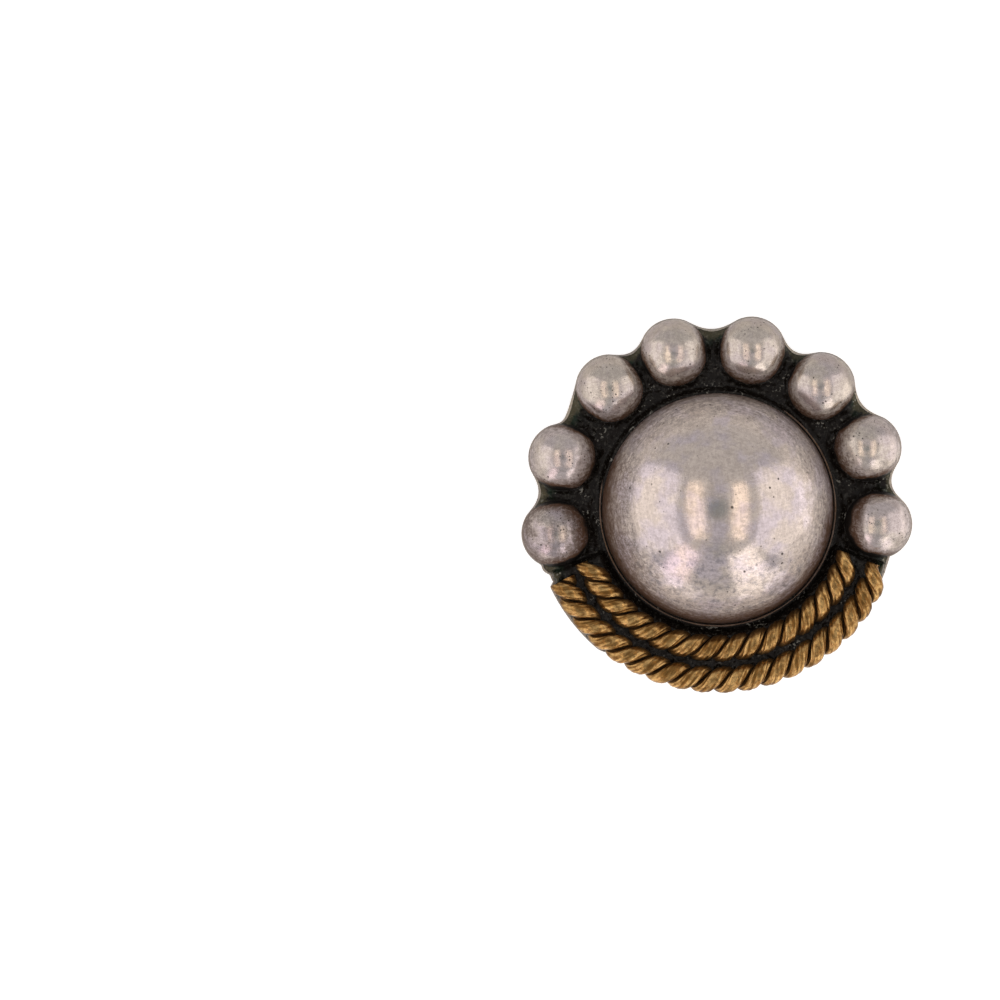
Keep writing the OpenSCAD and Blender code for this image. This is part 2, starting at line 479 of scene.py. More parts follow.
knocks = bpy.data.textures.new("knocks", type="CLOUDS")
knocks.noise_scale = 1.1 * MM
knocks.noise_depth = 3
beads = [first_bead]
for number in range(2, len(BEADS) + 1):
    bead = first_bead.copy()
    bead.data = first_bead.data.copy()
    bead.name = bead.data.name = f"bead_{number}"
    bpy.context.scene.collection.objects.link(bead)
    beads.append(bead)
for bead, (x, y) in zip(beads, bead_places):
    move_points(bead, points_mm(bead) + np.array((x, y, 0)))
    finish_with(bead, "DISPLACE", texture=knocks, strength=BEAD_DENT, mid_level=1)
    smooth(bead)
report(first_bead)

# %% [markdown]
# ## Solder bed
#
# Between the beads, the dome and the ropes the plate is flooded with solder that has gone black. It
# climbs a little up every foot, makes hollow webs between the beads and lies in lumps in the
# corners. The ropes lie deep in it, so that only their crests stand out, each a pointed leaf. Its
# surface is a grid whose points are lifted by a height worked out from the distance to each foot.
# Near the plate's edge the solder thins out and dips under the face of the plate. Heights and
# reaches are in mm. FLOOD_ANGLES are the degrees where the deep solder round the ropes starts, is
# full, is still full and ends.

# %% Distances over the plate


def distance_to_outline(x, y):
    """Distance in mm from each point to the plate's outline, and whether it lies inside."""
    a = outline_points[outline_edges[:, 0]]
    b = outline_points[outline_edges[:, 1]]
    along = b - a
    nearest = np.full(x.shape, 1e9)
    inside = np.zeros(x.shape, bool)
    for (ax, ay), (dx, dy) in zip(a, along):
        share = np.clip(((x - ax) * dx + (y - ay) * dy) / (dx * dx + dy * dy), 0, 1)
        nearest = np.minimum(nearest, np.hypot(x - ax - share * dx, y - ay - share * dy))
        crosses = (ay > y) != (ay + dy > y)
        if dy:
            inside ^= crosses & (x < ax + (y - ay) * dx / dy)
    return nearest, inside


def lumps(x, y, size, seed):
    """Smooth random bumps from 0 to 1 with this size in mm."""
    return np.array([0.5 + 0.5 * noise.fractal(Vector((px / size, py / size, seed)), 0.8, 2, 4)
                     for px, py in zip(x, y)])


# %% Lift the solder
BED_HALF = 14.2 * MM
BED_CELLS = 290
FILM = 0.05
BEAD_FILLET = 0.34
BEAD_FILLET_REACH = 0.20
RING_FILLET = 0.14
BURIED_FILLET = 0.75
BURIED_AT = 112
BURIED_EASE = (0.25, 0.75)
DOME_FILLET_REACH = 0.22
FLOOD = 0.96
FLOOD_WAVES = 0.34
FLOOD_INNER = (8.50, 9.15)
FLOOD_ANGLES = (199.6, 202.4, 340.2, 342.6)
LUMP_HEIGHT = 0.30
CRUMB_HEIGHT = 0.10
RECESS_FROM_EDGE = (0.25, 0.9)
RECESS_FROM_AXIS = (8.6, 9.2)
EDGE_CLEAR = 0.06
SHORE = 0.30
EDGE_DIP = 0.08
HOLLOW_R = 7.9
BED_DEPTH = 0.25 * MM

bpy.ops.mesh.primitive_grid_add(x_subdivisions=BED_CELLS, y_subdivisions=BED_CELLS,
                                size=2 * BED_HALF, location=(0, 0, PLATE_FACE))
solder_bed = settle("solder_bed")
rows = points_mm(solder_bed)
gap_to_edge, on_plate = distance_to_outline(rows[:, 0], rows[:, 1])
from_axis = np.hypot(rows[:, 0], rows[:, 1])
kept = on_plate & (gap_to_edge > EDGE_CLEAR) & (from_axis > HOLLOW_R)
open_mesh(solder_bed, "VERT")
pick(solder_bed, "verts", lambda vert: not kept[vert.index])
bpy.ops.mesh.delete(type="VERT")
close_mesh()
print("points of solder:", len(solder_bed.data.vertices))


def solder_height(x, y):
    """Height of the solder above the plate in mm."""
    edge_gap, _ = distance_to_outline(x, y)
    radius = np.hypot(x, y)
    fillets = np.zeros(x.shape)
    for bx, by in bead_places:
        to_bead = np.maximum(np.hypot(x - bx, y - by) - BEAD_R / MM, 0)
        fillets += BEAD_FILLET * np.exp(-to_bead / BEAD_FILLET_REACH)
    buried = ease(np.cos(np.arctan2(y, x) - math.radians(BURIED_AT)), *BURIED_EASE)
    to_dome = np.maximum(radius - RING_R / MM, 0)
    foot = RING_FILLET + (BURIED_FILLET - RING_FILLET) * buried
    fillets += foot * np.exp(-to_dome / DOME_FILLET_REACH)
    bumps = LUMP_HEIGHT * lumps(x, y, 0.55, 9.1) ** 2 + CRUMB_HEIGHT * lumps(x, y, 0.22, 1.3)
    recess = ease(edge_gap, *RECESS_FROM_EDGE) * ease(radius, *RECESS_FROM_AXIS)
    low = FILM + fillets + bumps * recess
    turn = np.degrees(np.arctan2(y, x)) % 360
    start, start_full, end_full, end = FLOOD_ANGLES
    flooded = ease(turn, start, start_full) * (1 - ease(turn, end_full, end))
    flooded *= ease(radius, *FLOOD_INNER)
    deep = FLOOD - FLOOD_WAVES / 2 + FLOOD_WAVES * lumps(x, y, 0.40, 5.7)
    shore = ease(edge_gap, EDGE_CLEAR, SHORE)
    return (low + (deep - low) * flooded) * shore - EDGE_DIP * (1 - shore)


rows = points_mm(solder_bed)
rows[:, 2] += solder_height(rows[:, 0], rows[:, 1])
move_points(solder_bed, rows)

# %% Close the solder underneath
open_mesh(solder_bed)
bpy.ops.mesh.extrude_region_move(TRANSFORM_OT_translate={"value": (0, 0, -4 * BED_DEPTH)})
bpy.ops.transform.resize(value=(1, 1, 0), center_override=(0, 0, PLATE_FACE - BED_DEPTH))
bpy.ops.mesh.select_all(action="SELECT")
bpy.ops.mesh.normals_make_consistent(inside=False)
close_mesh()
smooth(solder_bed, 60)
report(solder_bed)

# %% [markdown]
# ## Twisted ropes
#
# Each rope is two brass wires twisted together and bent round the dome. A straight rod is the
# start: a cylinder, subdivided along its length. Its points are then laid along the double curve,
# the twist of the pair and the bend round the dome, which no single operator follows. The rods have
# fine drawn ridges, worn flat on the crests. Each point keeps its place on the straight rod in an
# attribute, so the brass can streak along the wire. A rope's row gives the radius of its axis in mm,
# the degrees from crest to crest and to the first crest, and where each of its two wires ends. The
# other sizes are in mm too. FULL_WIRE_R is the wire's radius in the frame. The drawn wire is a little
# flatter than that: WIRE_R deep and WIRE_HALF_WIDTH to each side, with the corners as full as
# SQUARENESS makes them, where 2 is an ellipse.

# %% Sizes of the ropes
ROPE_R = 0
ROPE_CREST = 1
ROPE_FIRST = 2
WIRE_ENDS = (3, 4)
INNER_ROPE = (10, 8.573, 207.1, (201.8, 336.5), (207.1, 340.9))
OUTER_ROPE = (12.23, 7.45, 209.05, (205.0, 334.4), (204.8, 340.5))
WIRE_R = 0.463
WIRE_HALF_WIDTH = 0.535
SQUARENESS = 2.2
WIRE_GAP = 0.03
TWIST_R = 0.515
FULL_WIRE_R = 0.5
ROPE_Z = PLATE_FACE / MM + WIRE_GAP + FULL_WIRE_R + TWIST_R
WIRE_SIDES = 56
FIRST_CUTS = 18
SECOND_CUTS = 15
RIDGES = 9
RIDGE_DEPTH = 0.10
RIDGE_USUAL = 0.6
RIDGE_VARIES = 1.2
RIDGE_LEAST = 0.15
KNOCK_DEPTH = 0.035
CREST_WEAR = 0.10
SPARE_END = 4
WIRE_PER_ROPE = 1.45
UNEVEN_OVER = 0.9
KNOCKED_OVER = 0.35
NOISE_RING = 1.2
NOISE_APART = 7
for rope in (INNER_ROPE, OUTER_ROPE):
    start, end = rope[WIRE_ENDS[0]]
    print("crests on the rope of radius", rope[ROPE_R], "mm:", round((end - start) / rope[ROPE_CREST]))

# %% Lay a rod along a rope


def straight_rod(name):
    """A rod of unit length along Z, with a ring of points at every cut."""
    bpy.ops.mesh.primitive_cylinder_add(vertices=WIRE_SIDES, radius=1, depth=1,
                                        end_fill_type="NGON", location=(0, 0, 0.5))
    rod = settle(name)
    for cuts in (FIRST_CUTS, SECOND_CUTS):
        open_mesh(rod, "EDGE")
        pick(rod, "edges", lambda edge: abs(edge.verts[0].co.z - edge.verts[1].co.z) > WELD)
        bpy.ops.mesh.subdivide(number_cuts=cuts)
        close_mesh()
    return rod


def lay_wire(name, rope, which):
    """Winds wire 0 or 1 of a rope, a little too long at both ends."""
    rod = straight_rod(name)
    flat = np.empty(len(rod.data.vertices) * 3)
    rod.data.vertices.foreach_get("co", flat)
    across, over, share = flat.reshape(-1, 3).T
    around = np.arctan2(over, across)
    crest = rope[ROPE_CREST]
    start, end = rope[WIRE_ENDS[which]]
    start, end = start - SPARE_END, end + SPARE_END
    degrees = start + share * (end - start)
    turn = np.radians(90 + 180 * (degrees - rope[ROPE_FIRST] - which * crest) / crest)
    phi = np.radians(degrees)
    none = np.zeros_like(phi)
    out = np.stack((np.cos(phi), np.sin(phi), none), 1)
    ahead_flat = np.stack((-np.sin(phi), np.cos(phi), none), 1)
    up = np.array((0, 0, 1.0))
    cos, sin = np.cos(turn)[:, None], np.sin(turn)[:, None]
    off = out * cos + up * sin
    swing = up * cos - out * sin
    run = ahead_flat * (rope[ROPE_R] + TWIST_R * cos) + swing * TWIST_R * 180 / crest
    ahead = run / np.linalg.norm(run, axis=1, keepdims=True)
    side = np.cross(ahead, off)
    length = np.radians(end - start) * rope[ROPE_R] * WIRE_PER_ROPE
    along = share * length
    ring_x = np.cos(around) * NOISE_RING + rope[ROPE_R]
    ring_y = np.sin(around) * NOISE_RING + which * NOISE_APART
    uneven = np.array([noise.noise(Vector(row)) for row in zip(along / UNEVEN_OVER, ring_x, ring_y)])
    knocked = np.array([noise.noise(Vector(row)) for row in zip(along / KNOCKED_OVER, ring_x, ring_y)])
    ridge_share = np.clip(RIDGE_USUAL + RIDGE_VARIES * uneven, RIDGE_LEAST, 1)
    ridge = RIDGE_DEPTH * ridge_share * (0.5 - 0.5 * np.cos(RIDGES * around))
    powers = np.abs(np.cos(around)) ** SQUARENESS + np.abs(np.sin(around)) ** SQUARENESS
    square = powers ** (-1 / SQUARENESS)
    size = np.hypot(across, over) * square * (1 - ridge - KNOCK_DEPTH * np.clip(knocked, 0, 1))
    outward = WIRE_R * size * np.cos(around)
    sideways = WIRE_HALF_WIDTH * size * np.sin(around)
    centre = out * rope[ROPE_R] + off * TWIST_R + up * ROPE_Z
    place = centre + off * outward[:, None] + side * sideways[:, None]
    top = ROPE_Z + TWIST_R + WIRE_R
    over_wear = np.maximum(place[:, 2] - (top - 2 * CREST_WEAR), 0)
    place[:, 2] -= over_wear * over_wear / (4 * CREST_WEAR)
    move_points(rod, place)
    straight = np.stack((along, outward, sideways), 1)
    layer = rod.data.attributes.new("rod_place", "FLOAT_VECTOR", "POINT")
    layer.data.foreach_set("vector", straight.astype(np.float32).ravel())
    valley = rod.data.attributes.new("valley", "FLOAT", "POINT")
    valley.data.foreach_set("value", (ridge / RIDGE_DEPTH).astype(np.float32))
    return rod


def cut_ends(rod, rope, which):
    """Saws a wire off square at both ends, where it dives into the solder."""
    for degrees, way in zip(rope[WIRE_ENDS[which]], (-1, 1)):
        phi = math.radians(degrees)
        place = (rope[ROPE_R] * MM * math.cos(phi), rope[ROPE_R] * MM * math.sin(phi), 0)
        open_mesh(rod)
        bpy.ops.mesh.bisect(plane_co=place, plane_no=(-way * math.sin(phi), way * math.cos(phi), 0),
                            use_fill=True, clear_outer=True, threshold=WELD)
        close_mesh()


def rope_wire(name, rope, which):
    wire = lay_wire(name, rope, which)
    open_mesh(wire)
    bpy.ops.mesh.normals_make_consistent(inside=False)
    close_mesh()
    cut_ends(wire, rope, which)
    smooth(wire, 60)
    report(wire)
    return wire


rope_wires = {
    "inner_rope_wire_a": rope_wire("rope_inner_a", INNER_ROPE, 0),
    "inner_rope_wire_b": rope_wire("rope_inner_b", INNER_ROPE, 1),
    "outer_rope_wire_a": rope_wire("rope_outer_a", OUTER_ROPE, 0),
    "outer_rope_wire_b": rope_wire("rope_outer_b", OUTER_ROPE, 1),
}

# %% [markdown]
# ## Ear clip
#
# The clip is hidden by the front, so it is finished plainly: a paddle, its bracket and the pin. Its
# form in the frame is right. A copy is welded, its flat faces are joined, and all its edges are
# rounded so that nothing on it would cut an ear.

# %% Round the clip
CLIP_ROUND = 0.13 * MM

clip = merged_copy("ear_clip", "clip")
open_mesh(clip)
bpy.ops.mesh.dissolve_limited(angle_limit=math.radians(0.5))
close_mesh()
finish_with(clip, "BEVEL", width=CLIP_ROUND, segments=3, limit_method="ANGLE",
            angle_limit=math.radians(35), use_clamp_overlap=True)
smooth(clip)
report(clip)

# %% [markdown]
# ## Where a cloth can't reach, and where shade falls
#
# Silver and brass go black in the air and are rubbed bright again by wear and by the cloth, which
# never reaches the corners. So the tarnish follows how open each point lies, and the same darkening
# also stands for the shade in the corners: it is partly real tarnish and partly painted shade. Rays
# leave every point in all directions in front of it. Where most of them get away within a few
# millimetres the metal is bright, and where most meet another part it stays dark. A cloth also rubs
# a level face more than a steep one, so on the front the share that gets away is lowered on steep
# faces, which also paints shade on them. On the dome the left and the low side of the rim are
# duller and darker than the rest, and on each bead the two flanks that face its neighbours, and on
# some the inner side, again partly tarnish and partly painted shade. The result is kept on the
# points as the attribute open_sky. BESIDE_DULL_AND_SHADE says from which share of a bead's radius
# its flanks grow dull and dark, where they are fully so, and how much. INWARD_DULL_AND_SHADE gives
# the same two shares for the inner side, and the amount stands in the bead's own row. A row of
# DULL_AND_SHADED_SIDES gives a side of the dome: its direction in degrees, the cosines between which
# it fades in round that, the same in mm from the axis, how much. GRAZING leaves out the rays that
# hardly leave the surface, and a ray that meets something counts as partly clear, up to FAR_MEETING
# at the end of its reach.

# %% Measure how open each point lies
RAY_COUNT = 44
SILVER_REACH = 9 * MM
ROPE_REACH = 4 * MM
DOME_STEEP = 0.5
BEAD_STEEP = 0.55
# The beads' dull flanks and inner sides and the dome's dull sides: partly tarnish, partly painted shade.
BESIDE_DULL_AND_SHADE = (0.70, 0.95, 0.34)
INWARD_DULL_AND_SHADE = (0.25, 0.60)
DULL_AND_SHADED_SIDES = ((190, 0.66, 0.94, 5.9, 6.9, 0.31), (285, 0.10, 0.50, 7.2, 7.8, 0.30))
RAY_LIFT = 0.02 * MM
GRAZING = 0.1
FAR_MEETING = 0.5
GOLDEN_TURN = math.pi * (3 - math.sqrt(5))


def even_directions(count):
    """Unit vectors spread evenly over a ball."""
    spread = []
    for i in range(count):
        z = 1 - (2 * i + 1) / count
        flat = math.sqrt(1 - z * z)
        spread.append(Vector((flat * math.cos(GOLDEN_TURN * i), flat * math.sin(GOLDEN_TURN * i), z)))
    return spread


def tree_of(pieces):
    corners, faces = [], []
    for piece in pieces:
        start = len(corners)
        corners += [vert.co.copy() for vert in piece.data.vertices]
        faces += [[start + i for i in face.vertices] for face in piece.data.polygons]
    return BVHTree.FromPolygons(corners, faces)


def measure_open_sky(piece, reach, dull=0.0, steep=0.0):
    shares = np.zeros(len(piece.data.vertices), np.float32)
    for vert in piece.data.vertices:
        normal, total, clear = vert.normal, 0.0, 0.0
        start = vert.co + normal * RAY_LIFT
        for direction in ray_directions:
            weight = normal.dot(direction)
            if weight < GRAZING:
                continue
            total += weight
            met = sky_tree.ray_cast(start, direction, reach)
            clear += weight if met[3] is None else weight * FAR_MEETING * met[3] / reach
        # Steep faces are counted as less open, which paints shade on them.
        shares[vert.index] = clear / total * (1 - steep + steep * normal.z)
    shares -= dull
    layer = piece.data.attributes.new("open_sky", "FLOAT", "POINT")
    layer.data.foreach_set("value", shares)
    print(f"{piece.name}: open share from {shares.min():.2f} to {shares.max():.2f}")


silver_pieces = [back_plate, dome, dome_ring, solder_bed] + beads
sky_tree = tree_of(silver_pieces + list(rope_wires.values()) + [clip])
ray_directions = even_directions(RAY_COUNT)
for piece in (back_plate, clip):
    measure_open_sky(piece, ROPE_REACH)
for piece in [dome_ring, solder_bed] + list(rope_wires.values()):
    measure_open_sky(piece, ROPE_REACH, steep=DOME_STEEP)
# Each bead's flanks and inner side are made darker: partly tarnish, partly painted shade.
low, high, amount = BESIDE_DULL_AND_SHADE
for bead, row, (x, y) in zip(beads, BEADS, bead_places):
    off_x, off_y = (points_mm(bead)[:, :2] - (x, y)).T * MM / BEAD_R
    toward_neighbour = np.abs(off_x * y - off_y * x) / math.hypot(x, y)
    inward = -(off_x * x + off_y * y) / math.hypot(x, y)
    bead_dull_and_shade = row[BEAD_DULL] + amount * ease(toward_neighbour, low, high)
    bead_dull_and_shade += row[BEAD_DULLER_AND_SHADED_IN] * ease(inward, *INWARD_DULL_AND_SHADE)
    measure_open_sky(bead, SILVER_REACH, bead_dull_and_shade.astype(np.float32), BEAD_STEEP)
# The left and low rim of the dome are made darker: partly tarnish, partly painted shade.
rows = points_mm(dome)
off_axis, turn = lengths(rows[:, :2]), np.arctan2(rows[:, 1], rows[:, 0])
dome_dull_and_shade = np.zeros(len(rows))
for degrees, low, high, inner, outer, amount in DULL_AND_SHADED_SIDES:
    side = ease(np.cos(turn - math.radians(degrees)), low, high) * ease(off_axis, inner, outer)
    dome_dull_and_shade = np.maximum(dome_dull_and_shade, amount * side)
measure_open_sky(dome, SILVER_REACH, dome_dull_and_shade.astype(np.float32), DOME_STEEP)

# %% [markdown]
# ## Finishes
#
# The finishes share a few effects: fine polishing lines, small pits, and tarnish in the recesses.
# Each is a node group with its own inputs, used in each metal with other values. The small helpers
# below put down a node, join it and set it in one line.

# %% Helpers for nodes


def feed(tree, socket, value):
    """Joins a socket to the input, or sets the input to a value."""
    if isinstance(value, bpy.types.NodeSocket):
        tree.links.new(value, socket)
    else:
        socket.default_value = value


def put(tree, kind, **settings):
    """Adds a node. A setting with an input's name fills that input, and any other is an option."""
    node = tree.nodes.new("ShaderNode" + kind)
    for key, value in settings.items():
        if hasattr(node, key) and key not in node.inputs:
            setattr(node, key, value)
    for key, value in settings.items():
        label = key.replace("_", " ")
        if label in node.inputs:
            feed(tree, node.inputs[label], value)
    return node


def calc(tree, operation, *terms):
    node = tree.nodes.new("ShaderNodeMath")
    node.operation = operation
    for socket, term in zip(node.inputs, terms):
        feed(tree, socket, term)
    return node.outputs["Value"]


def plus(tree, first, second):
    return calc(tree, "ADD", first, second)


def minus(tree, first, second):
    return calc(tree, "SUBTRACT", first, second)


def times(tree, first, second):
    return calc(tree, "MULTIPLY", first, second)


def fade(tree, value, low, high):
    """0 below low, 1 above high."""
    node = put(tree, "MapRange", interpolation_type="SMOOTHSTEP", Value=value,
               From_Min=low, From_Max=high)
    return node.outputs["Result"]


def tint_between(tree, share, first, second):
    node = tree.nodes.new("ShaderNodeMix")
    node.data_type = "RGBA"
    feed(tree, node.inputs["Factor"], share)
    feed(tree, node.inputs[6], first)
    feed(tree, node.inputs[7], second)
    return node.outputs[2]


def cloud(tree, place, size, detail=3.0, roughness=0.55):
    """Soft random values from 0 to 1, with spots of this size in mm."""
    node = put(tree, "TexNoise", Vector=place, Scale=1 / size, Detail=detail, Roughness=roughness)
    return node.outputs["Fac"]


def flattened(tree, place):
    """The place seen from the front: its height is left out."""
    return put(tree, "Mapping", Vector=place, Scale=(1, 1, 0)).outputs["Vector"]


def length_of(tree, vector):
    node = tree.nodes.new("ShaderNodeVectorMath")
    node.operation = "LENGTH"
    feed(tree, node.inputs[0], vector)
    return node.outputs["Value"]


def millimetres(tree):
    """Places on the piece in mm."""
    place = put(tree, "TexCoord").outputs["Object"]
    return put(tree, "Mapping", Vector=place, Scale=(1 / MM, 1 / MM, 1 / MM)).outputs["Vector"]


def new_finish(name):
    """A new material with its node tree and its shader."""
    finish = bpy.data.materials.new(name)
    finish.use_nodes = True
    tree = finish.node_tree
    return finish, tree, tree.nodes["Principled BSDF"]


def new_group(name, inputs, outputs):
    """An empty node group with these sockets, and its two end nodes."""
    group = bpy.data.node_groups.new(name, "ShaderNodeTree")
    for label, kind in inputs:
        group.interface.new_socket(label, in_out="INPUT", socket_type="NodeSocket" + kind)
    for label, kind in outputs:
        group.interface.new_socket(label, in_out="OUTPUT", socket_type="NodeSocket" + kind)
    return group, group.nodes.new("NodeGroupInput").outputs, group.nodes.new("NodeGroupOutput").inputs


def use_group(tree, group, **settings):
    node = tree.nodes.new("ShaderNodeGroup")
    node.node_tree = group
    for key, value in settings.items():
        feed(tree, node.inputs[key.replace("_", " ")], value)
    return node.outputs


def tone(red, green, blue):
    """A display colour, 0 to 255, as the linear colour that a shader takes."""
    def linear(level):
        level /= 255
        return level / 12.92 if level <= 0.04045 else ((level + 0.055) / 1.055) ** 2.4
    return (linear(red), linear(green), linear(blue), 1)


# %% [markdown]
# **Polishing lines.** A satin surface is covered in hair-fine lines that run a few ways at once.
# Noise stretched a long way along one direction makes one family of lines, and three families at
# different turns make a hand finish.

# %% Group: polishing lines
LINE_STRETCH = 14.0


def build_polishing_lines():
    group, given, result = new_group("polishing_lines", [("Place", "Vector"), ("Line Width", "Float")],
                                     [("Height", "Float")])
    families = []
    for degrees, tilt in ((18, 35), (-37, 60), (82, 10)):
        turned = put(group, "Mapping", Vector=given["Place"],
                     Rotation=(math.radians(tilt), 0, math.radians(degrees)))
        squeezed = put(group, "Mapping", Vector=turned.outputs["Vector"],
                       Scale=(1 / LINE_STRETCH, 1, 1))
        scale = calc(group, "DIVIDE", 1.0, given["Line Width"])
        lines = put(group, "TexNoise", Vector=squeezed.outputs["Vector"], Scale=scale, Detail=2.0)
        families.append(lines.outputs["Fac"])
    pair = plus(group, families[0], families[1])
    total = plus(group, pair, families[2])
    feed(group, result["Height"], calc(group, "DIVIDE", total, 3.0))
    return group


polishing_lines = build_polishing_lines()

# %% [markdown]
# **Pits.** Old silver has small black pits, crowded in some places and rare in others. Voronoi cells
# give each pit its place, the random colour of the cell its size, and most cells have none. The
# largest pit's radius is a share of the spacing.

# %% Group: pits
CROWD_SIZE = 1.6
LARGEST_PIT = 0.38
PIT_EDGE = (-0.03, 0.08)


def build_pits():
    group, given, result = new_group(
        "pits", [("Place", "Vector"), ("Spacing", "Float"), ("Share", "Float")], [("Mask", "Float")])
    cells = put(group, "TexVoronoi", Vector=given["Place"],
                Scale=calc(group, "DIVIDE", 1.0, given["Spacing"]))
    chance = put(group, "SeparateColor", Color=cells.outputs["Color"]).outputs["Red"]
    spare = minus(group, chance, minus(group, 1.0, given["Share"]))
    size = calc(group, "DIVIDE", calc(group, "MAXIMUM", spare, 0.0), given["Share"])
    crowded = fade(group, cloud(group, given["Place"], CROWD_SIZE), 0.40, 0.62)
    radius = times(group, times(group, size, crowded), LARGEST_PIT)
    inside = minus(group, radius, cells.outputs["Distance"])
    feed(group, result["Mask"], fade(group, inside, *PIT_EDGE))
    return group


pits_group = build_pits()

# %% [markdown]
# ** Tarnish and painted shade.** The group takes how open the point lies and breaks that up with
# noise. It puts out three masks: how little the cloth has rubbed the point, a thin brown film, and
# the black crust of the recesses. They grow where a point lies shut in, so they are partly tarnish
# and partly painted shade.

# %% Group: tarnish
BROAD_SPOT = 1.1
FINE_SPOT = 0.14
FINE_IN_WANDER = 0.40
MATT_EDGE = 0.12
CRUST_EDGE = 0.08


def build_tarnish():
    group, given, result = new_group(
        "tarnish", [("Place", "Vector"), ("Patchy", "Float"), ("Matt Below", "Float"),
                    ("Film Below", "Float"), ("Film Edge", "Float"), ("Crust Below", "Float")],
        [("Unrubbed", "Float"), ("Film", "Float"), ("Crust", "Float")])
    sky = put(group, "Attribute", attribute_name="open_sky").outputs["Fac"]
    broad = minus(group, cloud(group, given["Place"], BROAD_SPOT), 0.5)
    fine = minus(group, cloud(group, given["Place"], FINE_SPOT, 5.0, 0.75), 0.5)
    wander = plus(group, broad, times(group, fine, FINE_IN_WANDER))
    # Shut-in points get all three masks: partly tarnish, partly painted shade.
    worn = plus(group, sky, times(group, wander, given["Patchy"]))
    unrubbed = fade(group, minus(group, given["Matt Below"], worn), -MATT_EDGE, MATT_EDGE)
    film_depth = minus(group, given["Film Below"], worn)
    film = fade(group, calc(group, "DIVIDE", film_depth, given["Film Edge"]), -1.0, 1.0)
    crust = fade(group, minus(group, given["Crust Below"], worn), -CRUST_EDGE, CRUST_EDGE)
    feed(group, result["Unrubbed"], unrubbed)
    feed(group, result["Film"], film)
    feed(group, result["Crust"], crust)
    return group


tarnish_and_shade_group = build_tarnish()

# %% [markdown]
# **Turned lines.** Near its foot the dome still has fine lines that run round it, left by the stick
# that it was rubbed with. Noise that changes fast with the distance from the axis and slowly with
# the direction makes them.

# %% Group: turned lines
ROUND_SCALE = 3.0


def build_turned_lines():
    group, given, result = new_group("turned_lines", [("Place", "Vector"), ("Line Width", "Float")],
                                     [("Height", "Float")])
    flat = flattened(group, given["Place"])
    radius = length_of(group, flat)
    parts = put(group, "SeparateXYZ", Vector=flat).outputs
    across = calc(group, "DIVIDE", times(group, parts["X"], ROUND_SCALE), radius)
    over = calc(group, "DIVIDE", times(group, parts["Y"], ROUND_SCALE), radius)
    place = put(group, "CombineXYZ", X=across, Y=over,
                Z=calc(group, "DIVIDE", radius, given["Line Width"]))
    lines = put(group, "TexNoise", Vector=place.outputs["Vector"], Scale=1.0, Detail=3.0)
    feed(group, result["Height"], lines.outputs["Fac"])
    return group


turned_lines = build_turned_lines()

# %% [markdown]
# ## Silver
#
# Where the cloth reaches, the silver is polished satin that mirrors the studio. Where it doesn't,
# towards every foot, the surface is finely etched: it scatters the light, so it is made rougher and
# partly matt, and its mottle is painted darker there, partly as painted shade. All of it is mottled,
# with lilac and yellowish patches, and low on the dome bluish-grey blots are painted on as shade.
# Then come the brown film, the pits and, deep in the recesses, the black crust; film and crust are
# partly tarnish and partly painted shade. The first bead has gone duller than the others and has a
# finish of its own. Line widths are in mm, and the three shares say how much of the grain is
# mottle, streaks and fine spots.

# %% Silver finish
CRUST = tone(17, 13, 10)
BROWN_FILM = tone(86, 61, 44)
PIT = tone(44, 34, 29)
SHADE = tone(126, 115, 110)
# The bluish grey painted as shade low on the dome.
LOW_SIDE_SHADE = tone(108, 106, 112)
FINE_LINE = 0.08
BROAD_LINE = 0.17
TURNED_LINE = 0.09
MOTTLE_SHARE = 0.35
STREAK_SHARE = 0.40
FINE_SHARE = 0.25
ETCHED_SHADE = 1.3
ETCHED_MATT = 0.85
ETCHED_ROUGH = 0.30
GRAIN_ROUGH = 0.09
BARE_METALLIC = 0.94
MATT_METALLIC_LOSS = 0.88
PIT_TINT = 0.85
PIT_DEPTH = 0.6
MOTTLE_RELIEF = 0.12
FILM_GRAIN = 0.8
FILM_LEAST = 0.62
LOW_SIDE_SHADE_FADE = (1.0, 4.5)


